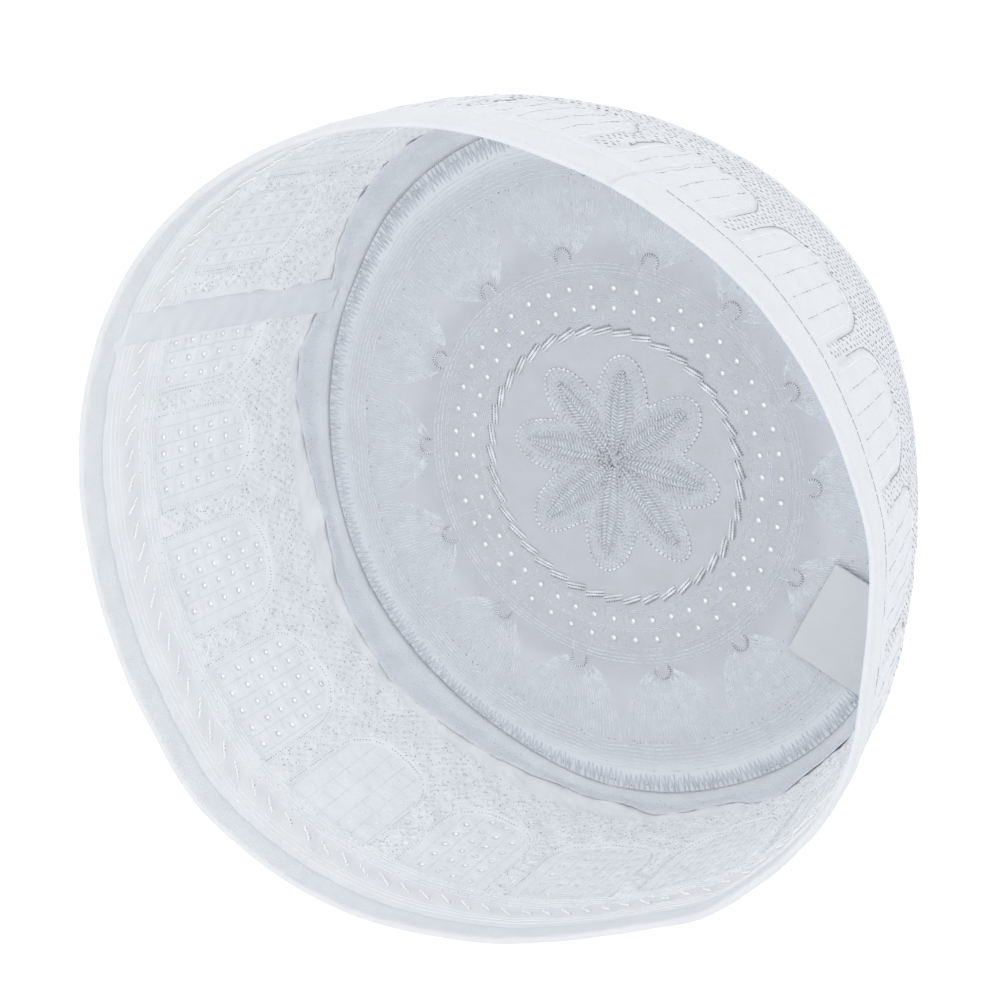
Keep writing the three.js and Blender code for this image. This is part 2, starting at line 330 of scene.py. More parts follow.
def add_piece(name, points, quads, tris, material, slot, replaces=None, uv=None, painted_shading=None,
              soft=True):
    points = np.asarray(points, float).reshape(-1, 3)
    quads = np.asarray(quads, int).reshape(-1, 4)
    tris = np.asarray(tris, int).reshape(-1, 3)
    mesh = bpy.data.meshes.new(name)
    mesh.vertices.add(len(points))
    mesh.vertices.foreach_set("co", (points * MM).astype(np.float32).ravel())
    faces_of(mesh, quads, tris, soft)
    if uv is not None:
        layer = mesh.uv_layers.new(name="cloth")
        corners = np.concatenate([quads.ravel(), tris.ravel()])
        layer.data.foreach_set("uv", np.asarray(uv, np.float32)[corners].ravel())
    # This attribute holds each point's share of painted shade, and on the crown of painted light, which the
    # material mixes into the cloth's colour.
    if painted_shading is not None:
        shade = mesh.attributes.new("painted_shading", "FLOAT", "POINT")
        shade.data.foreach_set("value", np.asarray(painted_shading, np.float32).ravel())
    mesh.update(calc_edges=True)
    mesh.validate()
    mesh.materials.append(material)
    piece = bpy.data.objects.new(name, mesh)
    bpy.context.collection.objects.link(piece)
    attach(piece, "root")
    if replaces:
        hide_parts(replaces)
    return piece


class Bits:
    """Many small closed forms that become one mesh."""

    def __init__(self):
        self.points, self.quads, self.tris, self.count = [], [], [], 0

    def add(self, points, quads, tris):
        self.points.append(np.reshape(points, (-1, 3)))
        self.quads.append(np.reshape(quads, (-1, 4)) + self.count)
        self.tris.append(np.reshape(tris, (-1, 3)) + self.count)
        self.count += len(self.points[-1])

    def piece(self, name, material, slot):
        stack = [np.concatenate(part) for part in (self.points, self.quads, self.tris)]
        return add_piece(name, *stack, material, slot, soft=False)


# Sections of a stitch: across and up, as shares of half its width and of its height
SECTIONS = {
    3: [(-1, -0.6), (0, 0.8), (1, -0.6)],
    4: [(-1, -0.4), (-0.5, 0.65), (0.5, 0.65), (1, -0.4)],
    5: [(-1, -0.3), (-0.62, 0.6), (0, 0.85), (0.62, 0.6), (1, -0.3)],
}
SPANS = {
    1: ([0, 1], [0.85, 0.85]),
    2: ([0, 0.5, 1], [0.35, 1, 0.35]),
    3: ([0, 0.22, 0.78, 1], [0.35, 1, 1, 0.35]),
    4: ([0, 0.15, 0.5, 0.85, 1], [0.3, 0.85, 1, 0.85, 0.3]),
}


def unit(vectors):
    return vectors / np.maximum(np.linalg.norm(vectors, axis=-1, keepdims=True), 1e-9)


def add_stitches(bits, start, end, normal, width, height, sides=3, spans=1, bow=0.0):
    """Raised stitches, each from its start to its end, on a surface with that normal."""
    start, end = np.asarray(start, float), np.asarray(end, float)
    count = len(start)
    normal = np.broadcast_to(normal, start.shape)
    along = end - start
    heading = unit(along)
    side = unit(np.cross(normal, heading))
    up = np.cross(heading, side)
    places, scales = SPANS[spans]
    section = np.array(SECTIONS[sides], float)
    rings = []
    for place, scale in zip(places, scales):
        middle = start + along * place + up * (bow * 4 * place * (1 - place))
        for across, rise in section:
            rings.append(middle + side * (across * width * scale) + up * (rise * height * scale))
    points = np.stack(rings, axis=1)
    quads, tris = [], []
    for span in range(spans):
        a = span * sides
        for corner in range(sides):
            b = (corner + 1) % sides
            quads.append([a + corner, a + sides + corner, a + sides + b, a + b])
    last = spans * sides
    for corner in range(1, sides - 1):
        tris.append([0, corner, corner + 1])
        tris.append([last, last + corner + 1, last + corner])
    step = (np.arange(count) * len(rings))[:, None, None]
    bits.add(points, np.array(quads)[None] + step, np.array(tris)[None] + step)


def cut_up(line, length, fill=0.84, shift=0.0):
    """Cuts a dense line of points into running stitches and returns their ends."""
    line = np.asarray(line, float)
    travel = np.concatenate([[0], np.cumsum(np.linalg.norm(np.diff(line, axis=0), axis=1))])
    count = max(1, round(travel[-1] / length))
    pitch = travel[-1] / count
    begin = (np.arange(count) + shift % 1 * (count > 1)) * pitch
    begin = begin[begin + pitch * fill <= travel[-1] + 1e-6]
    take = [np.interp(s, travel, line[:, k]) for s in (begin, begin + pitch * fill) for k in range(3)]
    return np.stack(take[:3], axis=1), np.stack(take[3:], axis=1)


def inward(points):
    """The direction from the band towards the cap's axis, tipped with the wall's slope."""
    flat = np.array(points, float)
    flat[:, 2] = 0
    return unit(unit(-flat) + [0, 0, 0.16])


def add_run(bits, line, length, width, height, normal=None, fill=0.84, shift=0.0, **form):
    start, end = cut_up(line, length, fill, shift)
    if normal is None:
        normal = inward((start + end) / 2)
    elif isinstance(normal, str):
        normal = -inward((start + end) / 2)
    add_stitches(bits, start, end, normal, width, height, **form)


def add_marks(bits, centre, normal, size, rng):
    """Painted shade for needle holes: small, low, dark ovals."""
    centre = np.asarray(centre, float)
    turn = rng.uniform(0, 2 * np.pi, len(centre))
    normal = np.broadcast_to(normal, centre.shape)
    first = unit(np.cross(normal, [0.3, 0.2, 0.9] if abs(normal[0][2]) < 0.7 else [1.0, 0.2, 0.1]))
    second = np.cross(normal, first)
    reach = size * rng.uniform(0.8, 1.7, len(centre))[:, None]
    way = (first * np.cos(turn)[:, None] + second * np.sin(turn)[:, None]) * reach
    add_stitches(bits, centre - way, centre + way, normal, size, 0.07, sides=3)


def add_rings(bits, centre, normal, radius, thick, steps=8, sides=4):
    """Thread rings that bind eyelets."""
    centre = np.asarray(centre, float)
    normal = np.broadcast_to(normal, centre.shape)
    first = unit(np.cross(normal, [0.3, 0.2, 0.9] if abs(normal[0][2]) < 0.7 else [1.0, 0.2, 0.1]))
    second = np.cross(normal, first)
    rings = []
    for step in range(steps):
        turn = 2 * np.pi * step / steps
        out = first * np.cos(turn) + second * np.sin(turn)
        for side in range(sides):
            roll = 2 * np.pi * side / sides
            rings.append(centre + out * (radius + thick * np.cos(roll)) + normal * thick * np.sin(roll))
    points = np.stack(rings, axis=1)
    quads = []
    for step in range(steps):
        for side in range(sides):
            a, b = step * sides, (step + 1) % steps * sides
            c = (side + 1) % sides
            quads.append([a + side, b + side, b + c, a + c])
    offset = (np.arange(len(centre)) * len(rings))[:, None, None]
    bits.add(points, np.array(quads)[None] + offset, np.zeros((0, 3), int))


def ring_faces(rows, columns, close_rows=False, flip=False):
    """The four-sided faces of a closed ring of rows, each with the same columns."""
    r = np.arange(rows if close_rows else rows - 1)
    c = np.arange(columns)
    a = r[:, None] * columns + c
    b = r[:, None] * columns + (c + 1) % columns
    up = (r[:, None] + 1) % rows * columns
    quads = np.stack([a, b, up + (c + 1) % columns, up + c], axis=-1).reshape(-1, 4)
    return quads[:, ::-1] if flip else quads


def pierce(points, quads, columns, places, radius, back, depth, dip=0.0):
    """Opens round holes at grid corners. places are (row, column); back is each one's way in."""
    rows, cols = places[:, 0], places[:, 1]
    centre = rows * columns + cols
    right, left = (cols + 1) % columns, (cols - 1) % columns
    around = [(rows, right), (rows + 1, right), (rows + 1, cols), (rows + 1, left),
              (rows, left), (rows - 1, left), (rows - 1, cols), (rows - 1, right)]
    around = np.stack([r * columns + c for r, c in around], axis=1)
    middle = points[centre]
    first = unit(points[around[:, 0]] - middle)
    second = unit(points[around[:, 2]] - middle)
    for step in range(8):
        turn = np.pi / 4 * step
        out = radius * (first * np.cos(turn) + second * np.sin(turn))
        points[around[:, step]] = middle + out + back * np.reshape(dip, (-1, 1))
    kept = quads[~np.isin(quads, centre).any(axis=1)]
    wall = points[around] + (back * depth)[:, None, :]
    base = len(points)
    inner = base + np.arange(wall.shape[0] * 8).reshape(-1, 8)
    sides = [np.stack([around[:, k], around[:, (k + 1) % 8], inner[:, (k + 1) % 8], inner[:, k]], 1)
             for k in range(8)]
    return np.concatenate([points, wall.reshape(-1, 3)]), kept, np.concatenate(sides)


# Materials
class Maker:
    """Builds one Principled material from nodes."""

    def __init__(self, name, **values):
        self.material = bpy.data.materials.new(name)
        self.material.use_nodes = True
        self.tree = self.material.node_tree
        self.shader = self.tree.nodes["Principled BSDF"]
        for key, value in values.items():
            self.shader.inputs[key.replace("_", " ").title()].default_value = value

    def node(self, kind, **links):
        made = self.tree.nodes.new(kind)
        for key, value in links.items():
            socket = made.inputs[key] if key in made.inputs else made.inputs[int(key[1:])]
            self.feed(socket, value)
        return made

    def feed(self, socket, value):
        if isinstance(value, bpy.types.NodeSocket):
            self.tree.links.new(value, socket)
        else:
            socket.default_value = value

    def math(self, operation, a, b=0.0):
        made = self.node("ShaderNodeMath", i0=a, i1=b)
        made.operation = operation
        return made.outputs[0]

    def noise(self, scale, detail=2.0, where=None):
        made = self.node("ShaderNodeTexNoise", Scale=scale, Detail=detail)
        made.inputs["Vector"].default_value = (0, 0, 0)
        self.tree.links.new(where or self.place("Object"), made.inputs["Vector"])
        return made.outputs["Fac"]

    def place(self, kind):
        return self.node("ShaderNodeTexCoord").outputs[kind]

    def weave(self, where, pitch):
        """A plain weave of threads a pitch apart, from 0 to 1."""
        axes = self.node("ShaderNodeSeparateXYZ", Vector=where).outputs
        number = 2 * np.pi / pitch
        over = self.math("SINE", self.math("MULTIPLY", axes[0], number))
        under = self.math("SINE", self.math("MULTIPLY", axes[1], number))
        return self.math("MULTIPLY_ADD", self.math("MULTIPLY", over, under), 0.5)

    def mix(self, factor, a, b):
        made = self.node("ShaderNodeMix", Factor=factor)
        made.data_type = "RGBA"
        for name, value in (("A", a), ("B", b)):
            socket = [s for s in made.inputs if s.name == name and s.type == "RGBA"][0]
            self.feed(socket, value)
        return [s for s in made.outputs if s.type == "RGBA"][0]

    def ramp(self, value, low, high):
        made = self.node("ShaderNodeMapRange", Value=value)
        made.inputs["From Min"].default_value = low
        made.inputs["From Max"].default_value = high
        return made.outputs["Result"]

    def bump(self, height, distance, strength=1.0, under=None):
        made = self.node("ShaderNodeBump", Height=height, Distance=distance, Strength=strength)
        if under is not None:
            self.tree.links.new(under, made.inputs["Normal"])
        return made.outputs["Normal"]

    def finish(self, colour, normal):
        self.tree.links.new(colour, self.shader.inputs["Base Color"])
        self.tree.links.new(normal, self.shader.inputs["Normal"])
        return self.material


def white(value, blue=0.03):
    """A pale colour of that green value, with less red and more blue by a share of it."""
    return (value * (1 - 0.8 * blue), value, value * (1 + 1.1 * blue), 1)


def cloth_material(name, light, dark, coordinates="UV", pitch=0.55, painted_shading=None, fuzz=0.00006):
    made = Maker(name, roughness=0.88, sheen_weight=0.2, sheen_roughness=0.5)
    scale = 1 if coordinates == "UV" else MM
    weave = made.weave(made.place(coordinates), pitch * scale)
    blotch = made.ramp(made.noise(140.0), 0.35, 0.65)
    colour = made.mix(blotch, light, tuple(np.add(light, dark) / 2))
    colour = made.mix(made.math("MULTIPLY", weave, 0.35), colour, dark)
    # Painted light and shade: the shading attribute mixes this colour into the cloth, dark for painted shade and
    # pale on the crown for painted light.
    if painted_shading:
        shade = made.node("ShaderNodeAttribute")
        shade.attribute_name = "painted_shading"
        colour = made.mix(shade.outputs["Fac"], colour, painted_shading)
    fibres = made.bump(made.noise(2600.0, 3.0), fuzz)
    return made.finish(colour, made.bump(weave, 0.00005, 0.6, fibres))


def thread_material(name, light, dark, roughness=0.5):
    made = Maker(name, roughness=roughness, sheen_weight=0.1, sheen_roughness=0.4)
    colour = made.mix(made.ramp(made.noise(420.0), 0.3, 0.7), light, dark)
    return made.finish(colour, made.bump(made.noise(3600.0, 2.0), 0.00005))


# SHADED is the colour of painted shade. The cap is one white cloth sewn with white thread, and the copies below
# differ by where they sit, as painted light and shade: the crown's cloth and threads are darker and bluer, as
# painted shade in its hollow, and the band's inside is paler, as painted light that stands in for light through
# the cloth.
SHADED = white(0.42, 0.05)
band_cloth = cloth_material("band_cloth", white(0.93, 0.025), white(0.86, 0.025), painted_shading=SHADED)
outer_cloth = cloth_material("outer_cloth", white(0.75, 0.045), white(0.69, 0.045), painted_shading=SHADED, fuzz=0.00015)
# The crown's mixed-in colour is pale, so on the crown the shading attribute adds painted light.
crown_cloth = cloth_material("crown_cloth", white(0.6, 0.065), white(0.53, 0.065), "Object",
                             painted_shading=white(0.9, 0.05))
flap_cloth = cloth_material("flap_cloth", white(0.82, 0.055), white(0.69, 0.055), pitch=0.7, painted_shading=SHADED,
                            fuzz=0.0002)
strip_cloth = cloth_material("strip_cloth", white(0.84, 0.045), white(0.78, 0.045), pitch=0.4)
hem_cloth = cloth_material("hem_cloth", white(0.84, 0.035), white(0.78, 0.035), pitch=0.45, painted_shading=SHADED,
                           fuzz=0.0002)
tag_cloth = cloth_material("tag_cloth", white(0.69, 0.045), white(0.65, 0.045), pitch=0.35)
crown_thread = thread_material("crown_thread", white(0.83, 0.065), white(0.7, 0.065))
bright_thread = thread_material("bright_thread", white(0.9, 0.055), white(0.62, 0.055), 0.4)
flower_thread = thread_material("flower_thread", white(0.76, 0.065), white(0.62, 0.065), 0.4)
band_thread = thread_material("band_thread", white(0.92, 0.025), white(0.85, 0.025))
chain_thread = thread_material("chain_thread", white(0.98, 0.01), white(0.95, 0.01))
faint_thread = thread_material("faint_thread", white(0.8), white(0.74))
outer_thread = thread_material("outer_thread", white(0.86, 0.04), white(0.8, 0.04))
# needle_shade is painted shade: dark marks where needle holes, pits, grooves and lines hold shade.
needle_shade = thread_material("needle_shade", white(0.34, 0.08), white(0.24, 0.08), 0.9)


# The band's cloth, inside and outside, with its netting and the open eyelets of the arches
EYELET_HEIGHTS = (51.5, 46.5, 41.8, 36.8, 31.8, 27.4)
LINE_HEIGHTS = (53.8, 49, 44.1, 39.3, 34.2, 29.4)


def arch_columns(first, last):
    count = 5 if last - first >= 15.95 else 4
    return (first + last) / 2 + (np.arange(count) - (count - 1) / 2) * min(2.85, (last - first) / 5.6)


def arch_eyelets(opened):
    found = []
    for first, last, is_open in ARCHES:
        for angle in arch_columns(first, last):
            for height in EYELET_HEIGHTS:
                deep = arch_depth(angle, height, **INSIDE_ARCH) > 1.7
                hidden = abs((angle - STRIP_ANGLE + 180) % 360 - 180) < 3.6
                if deep and not hidden and is_open == opened:
                    found.append((height, angle))
    return np.array(found)


def grid_heights(low, fine_top, top, step):
    first = int(round((low - GRID_START) / ROW))
    last = int(round((fine_top - GRID_START) / ROW))
    fine = GRID_START + ROW * np.arange(first, last + 1)
    coarse = np.linspace(fine[-1], top, int(np.ceil((top - fine[-1]) / step)) + 1)[1:]
    return np.concatenate([fine, coarse])


def band_face(name, heights, point_at, painted_shade_at, material, outward):
    angles = np.arange(COLUMNS) * 360 / COLUMNS
    angle, height = np.meshgrid(angles, heights)
    points = point_at(angle, height).reshape(-1, 3)
    quads = ring_faces(len(heights), COLUMNS, flip=not outward)
    eyelets = arch_eyelets(True)
    rows = np.searchsorted(heights, eyelets[:, 0] - ROW / 2)
    cols = np.round(eyelets[:, 1] * COLUMNS / 360).astype(int) % COLUMNS
    places = np.stack([rows, cols], axis=1)
    centre = points[rows * COLUMNS + cols]
    back = inward(centre) * (1 if outward else -1)
    stands = np.hypot(centre[:, 0], centre[:, 1]) - wall_radius(eyelets[:, 1], eyelets[:, 0])
    dip = stands - 0.4 if outward else 0.32 - stands
    points, quads, tubes = pierce(points, quads, COLUMNS, places, 0.54 if outward else 0.47, back, 0.08, dip)
    if not outward:
        tubes = tubes[:, ::-1]
    tall = points[:, 2]
    around = np.degrees(np.arctan2(points[:, 1], points[:, 0])) % 360
    uv = np.stack([around * np.radians(1) * 86, tall], axis=1)
    # Painted shade for this face, which its material mixes into the cloth's colour.
    shade = painted_shade_at(around, tall)
    add_piece(name, points, np.concatenate([quads, tubes]), [], material, "band_cloth", "band",
              uv, shade)
    return centre + back * (dip - 0.1)[:, None]


def shade_inside(angle, height):
    # Painted shade on the band's inside: darker in the netting's pits, darker towards the top, and darker again in
    # a band at the chain's height.
    dark = 0.3 * netting_inside(angle, height)[0] * pits(angle, height, 0.5, 0.4, 1) ** 1.5
    return dark + 0.1 * smooth(height, 42, 62) + 0.08 * np.exp(-(((height - 62.8) / 2.2) ** 2))


def shade_outside(angle, height):
    # Painted shade on the band's outside: darker in the netting's pits and in the groove round each arch.
    net, depth = netting_outside(angle, height)
    groove = np.exp(-(((depth + 0.75) / 0.4) ** 2)) * (1 - smooth(height, 57, 59.5))
    dark = net * pits(angle, height, 0.5, 0.55, 4)
    return np.clip(0.14 * dark + 0.2 * groove, 0, 1)


eyelets_in = band_face("band_inside", grid_heights(3.8, 56.4, HEM_BOTTOM + 2.5, 1.5),
                       inside_point, shade_inside, band_cloth, False)
band_face("band_outside", grid_heights(GRID_START, 60.6, DEPTH - 11.6, 1.5),
          outside_point, shade_outside, outer_cloth, True)


# The hem folds over the rim: up the inside, over the lip and down the outside
def hem():
    columns = 720
    angle = np.arange(columns) * 360 / columns
    inner, lip, outer = [], [], []
    for height in np.linspace(HEM_BOTTOM, DEPTH - 1.1, 8):
        tuck = -0.1 + 0.5 * smooth(height, HEM_BOTTOM - 0.2, HEM_BOTTOM + 1.2)
        inner.append((height + 0 * angle, -(tuck + 0.05 * ripples(angle, height, 7, 12))))
    for turn in np.linspace(20, 160, 6):
        out = 0.42 - 0.82 * np.cos(np.radians(turn))
        lip.append((DEPTH - 1.0 + 0.9 * np.sin(np.radians(turn)) + 0 * angle, out + 0 * angle))
    for height in np.linspace(DEPTH - 1.1, DEPTH - 12.6, 12):
        puff = 0.28 * np.sin(np.pi * np.clip((height - DEPTH + 12.6) / 11.3, 0, 1)) ** 0.6
        puff = puff - 0.8 * (1 - smooth(height, DEPTH - 12.6, DEPTH - 11.9))
        wave = 0.05 * ripples(angle, height, 9, 13) + 0.03 * ripples(angle, height, 2.4, 14)
        outer.append((height + 0 * angle, CLOTH + puff + wave))
    wave = 0.06 * ripples(angle, 0, 16, 15)
    rows = []
    for height, out in inner + lip + outer:
        radius = wall_radius(angle, height) + out
        rows.append(polar(radius, angle, height + wave * smooth(height, 70, 77)))
    points = np.concatenate(rows)
    quads = ring_faces(len(rows), columns, flip=True)
    travel = np.repeat(np.arange(len(rows)) * 1.1, columns)
    uv = np.stack([np.tile(angle * np.radians(1) * 88, len(rows)), travel], axis=1)
    # Painted shade: the hem is painted darker from its lip down the outside.
    rising = smooth(np.arange(len(rows)), len(inner) - 2, len(inner) + 5)
    shade = np.repeat(0.2 * rising, columns)
    add_piece("hem", points, quads, [], hem_cloth, "band_cloth", "band", uv, shade)


hem()


# The crown's cloth, a disc of rings with its open eyelets
def painted_crown_light(points):
    """Painted light: how much paler the crown is painted under the fans, and more under the seam's zigzag, to lift
    the shade there.
    """
    radius = np.hypot(points[:, 0], points[:, 1])
    return 0.22 * smooth(radius, 50, 57) + 0.5 * smooth(radius, 71, 76)


def crown():
    columns = 8 * EYELETS
    angle = EYELET_START + np.arange(columns) * 360 / columns
    radii = [0.35, 0.9, 1.6]
    while radii[-1] < 79.6:
        radii.append(radii[-1] + (0.72 if radii[-1] < 48 else 1.05))
    for ring in EYELET_RINGS:
        near = int(np.argmin(np.abs(np.array(radii) - ring)))
        radii[near] = ring
    radii = np.array([r for r in radii if r < 79.9] + [80.0])
    a, r = np.meshgrid(angle, radii)
    top = crown_point(r, a).reshape(-1, 3)
    edge = crown_radius(80.0, angle)
    skirt = [polar(edge + out, angle, z) for out, z in ((0.3, 1.0), (0.6, 0.7), (0.6, 0.35), (0.3, 0.1))]
    under = np.minimum(0.35, 0.05 + 0.3 * (80 - r) / 4)
    under = under + 0.3 * smooth(r, 33.5, 35.5) * (1 - smooth(r, 44.5, 46.5))
    under = polar(crown_radius(r, a), a, under)[::-1]
    rings = len(radii)
    points = np.concatenate([top, *skirt, under.reshape(-1, 3)])
    quads = ring_faces(2 * rings + 4, columns)
    places, middles = [], []
    for ring in EYELET_RINGS:
        row = int(np.argmin(np.abs(radii - ring)))
        for k in range(EYELETS):
            places.append((row, 8 * k))
            middles.append(points[row * columns + 8 * k])
    places = np.array(places)
    down = np.tile(-UP, (len(places), 1))
    flip_rows = np.stack([2 * rings + 3 - places[:, 0], places[:, 1]], axis=1)
    points, quads, tubes = pierce(points, quads, columns, places, 0.48, down, 0.2, 0.1)
    points, quads, _ = pierce(points, quads, columns, flip_rows, 0.58, down, 0.0)
    first, last = len(points), 2 * rings + 3
    points = np.concatenate([points, [[0, 0, relief_crown(0.0, 0.0)], [0, 0, 0.35]]])
    c = np.arange(columns)
    hub = np.stack([np.full(columns, first), c, (c + 1) % columns], axis=1)
    base = last * columns
    back = np.stack([np.full(columns, first + 1), base + (c + 1) % columns, base + c], axis=1)
    add_piece("crown_sheet", points, np.concatenate([quads, tubes]), np.concatenate([hub, back]),
              crown_cloth, "crown_cloth", "crown", points[:, :2], painted_crown_light(points))
    return np.array(middles)


crown_eyelets = crown()


# The crown's embroidery
def circle(radius, lift=0.1, steps=720):
    return crown_point(radius, np.linspace(0, 360, steps + 1), lift)


def crown_line(radius, angle, lift=0.1):
    return crown_point(np.asarray(radius, float), np.asarray(angle, float), lift)


def turn_about(x, y, middle, radius=0.0):
    """From a frame with x along a ray and y across it, to the radius and angle of the crown."""
    x = np.asarray(x, float) + radius
    return np.hypot(x, y), middle + np.degrees(np.arctan2(y, x))


def flower_line(radius, angle, lift=0.1):
    return crown_line(*from_flower(np.asarray(radius, float), np.asarray(angle, float)), lift)


def flower(bits, bright, shade_marks):
    rng = np.random.default_rng(SEED + 40)
    for middle, reach, _, _ in PETALS:
        along = np.arange(2.0, reach - 3.4, 0.86)
        width = leaf_width(along, reach)
        skew = 0.24 * width + 0.15
        for hand in (-1, 1):
            inner = turn_about(along, hand * 0.15, middle)
            outer = turn_about(along + skew, hand * (0.2 + 0.55 * width), middle)
            start, end = flower_line(*inner, 0.12), flower_line(*outer, 0.08)
            add_stitches(bits, start, end, UP, 0.28, 0.4, sides=4, spans=3, bow=0.16)
            mark = turn_about(along + 0.43, hand * (0.2 + 0.12 * width), middle)
            some = rng.uniform(size=len(along)) < 0.6
            add_marks(shade_marks, flower_line(*mark, 0.08)[some], UP, 0.13, rng)
            inner = turn_about(along + skew + 0.25, hand * (0.34 + 0.62 * width), middle)
            outer = turn_about(along + 2 * skew, hand * (0.45 + 1.1 * width), middle)
            wide = width > 0.6
            start, end = flower_line(*inner, 0.1)[wide], flower_line(*outer, 0.05)[wide]
            add_stitches(bits, start, end, UP, 0.24, 0.26, sides=4, spans=2, bow=0.08)
            mark = turn_about(along + skew + 0.55, hand * (0.27 + 0.6 * width), middle)
            some = wide & (rng.uniform(size=len(along)) < 0.75)
            add_marks(shade_marks, flower_line(*mark, 0.06)[some], UP, 0.13, rng)
            mark = turn_about(along + 2 * skew + 0.15, hand * (0.55 + 1.15 * width), middle)
            some = wide & (rng.uniform(size=len(along)) < 0.5)
            add_marks(shade_marks, flower_line(*mark, 0.04)[some], UP, 0.12, rng)
    turns = np.linspace(0, 360, 1441)
    for row in range(1, 10):
        line = flower_line(star_radius(turns) - 0.85 * row, turns, 0.05)
        start, end = cut_up(line, 1.15, 0.72, shift=0.41 * row)
        middle = (start + end) / 2
        radius, angle = np.hypot(middle[:, 0], middle[:, 1]), np.degrees(np.arctan2(middle[:, 1], middle[:, 0]))
        free = (leaf_share(radius, angle) > 1.5) & (to_flower(radius, angle)[0] > 5)
        start, end = start[free], end[free]
        add_stitches(bits, start, end, UP, 0.19, 0.15, sides=3)
        some = rng.uniform(size=len(start)) < 0.45
        add_marks(shade_marks, end[some] + [0, 0, -0.02], UP, 0.11, rng)
    line = flower_line(star_radius(turns), turns, 0.14)
    start, end = cut_up(line, 1.25, 0.66)
    add_stitches(bright, start, end, UP, 0.34, 0.4, sides=4)
    add_marks(shade_marks, end * 1.004 + [0, 0, -0.08], UP, 0.15, rng)
    for _ in range(26):
        spot, turn = rng.uniform(0, 2.2), rng.uniform(0, 360)
        start = flower_line([spot], [turn], 0.25)
        end = start + [[rng.uniform(-1.2, 1.2), rng.uniform(-1.2, 1.2), 0]]
        add_stitches(bits, start, end, UP, 0.22, 0.24, sides=3)
    spot, turn = rng.uniform(1.2, 4.6, 60), rng.uniform(0, 360, 60)
    add_marks(shade_marks, flower_line(spot, turn, 0.12), UP, 0.17, rng)


def rope(bits, shade_marks):
    rng = np.random.default_rng(SEED + 43)
    bars = 41
    for bar in range(bars):
        angle = bar * 360 / bars + 2.7
        tangent = np.radians(angle + 90 + 16)
        way = np.array([np.cos(tangent), np.sin(tangent), 0])
        side = np.array([way[1], -way[0], 0])
        middle = crown_point(32.3, float(angle), 0.14)
        for off, long in ((-0.4, 2.75), (0.3, 2.6)):
            start, end = middle + side * off - way * long, middle + side * off + way * long
            add_stitches(bits, [start], [end], UP, 0.35, 0.26, sides=5, spans=4, bow=0.1)
        steps = np.arange(-2.3, 2.31, 0.66)[:, None]
        start = middle + way * steps - side * 0.66
        add_stitches(bits, start, start + way * 0.34 + side * 0.5, UP, 0.17, 0.36, spans=2, bow=0.12)
        add_marks(shade_marks, middle + way * (steps + 0.3) + side * 0.86 - [0, 0, 0.02], UP, 0.14, rng)
        add_marks(shade_marks, middle + way * (steps + 0.3) - side * 0.05 + [0, 0, 0.2], UP, 0.12, rng)


def lattice(bits):
    for radius in (35.3, 40.05, 44.9):
        for off in (-0.25, 0.25):
            add_run(bits, circle(radius + off), 2.1, 0.13, 0.1, UP, 0.86, shift=off)
    for k in range(EYELETS):
        angle = EYELET_START + (k + 0.5) * 360 / EYELETS
        line = crown_line(np.linspace(35.3, 44.9, 12), np.full(12, angle))
        add_run(bits, line, 1.9, 0.11, 0.08, UP, 0.84)
    for radius in (46.3, 47.2, 48.1):
        add_run(bits, circle(radius), 2.3, 0.17, 0.13, UP, 0.88, shift=radius)
    add_rings(bits, crown_eyelets + [0, 0, -0.06], UP, 0.61, 0.13)


